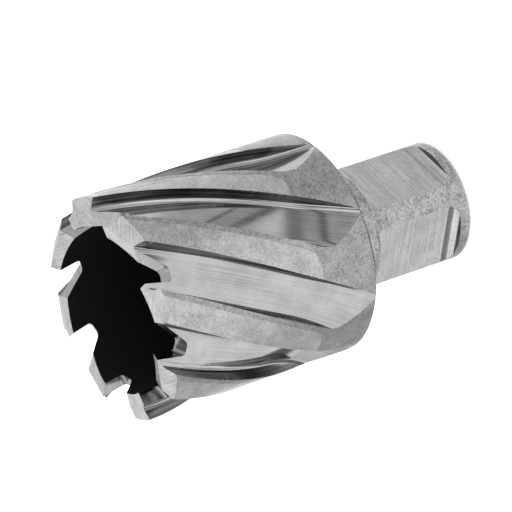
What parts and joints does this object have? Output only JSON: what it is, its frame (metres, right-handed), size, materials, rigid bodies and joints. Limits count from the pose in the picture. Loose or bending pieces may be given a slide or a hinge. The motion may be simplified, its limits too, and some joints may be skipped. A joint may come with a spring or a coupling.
{
  "type": "annular cutter",
  "caption": "Cup-shaped core drill in one piece: a ring of ground teeth on a helically fluted wall, and a round shank with driving flats and a pilot bore.",
  "frame": {"origin": "centre of the shank's end face, which the cutter stands on", "axes": "+Z along the axis from the shank to the teeth; +X and -Y are square to the two driving flats"},
  "size_m": [0.035, 0.035, 0.0618],
  "materials": {
    "high_speed_steel": "bright ground steel, with fine grinding lines along the flutes and a dull frosted back"
  },
  "bodies": {
    "root": {"annular_cutter": "high_speed_steel"}
  },
  "joints": []
}
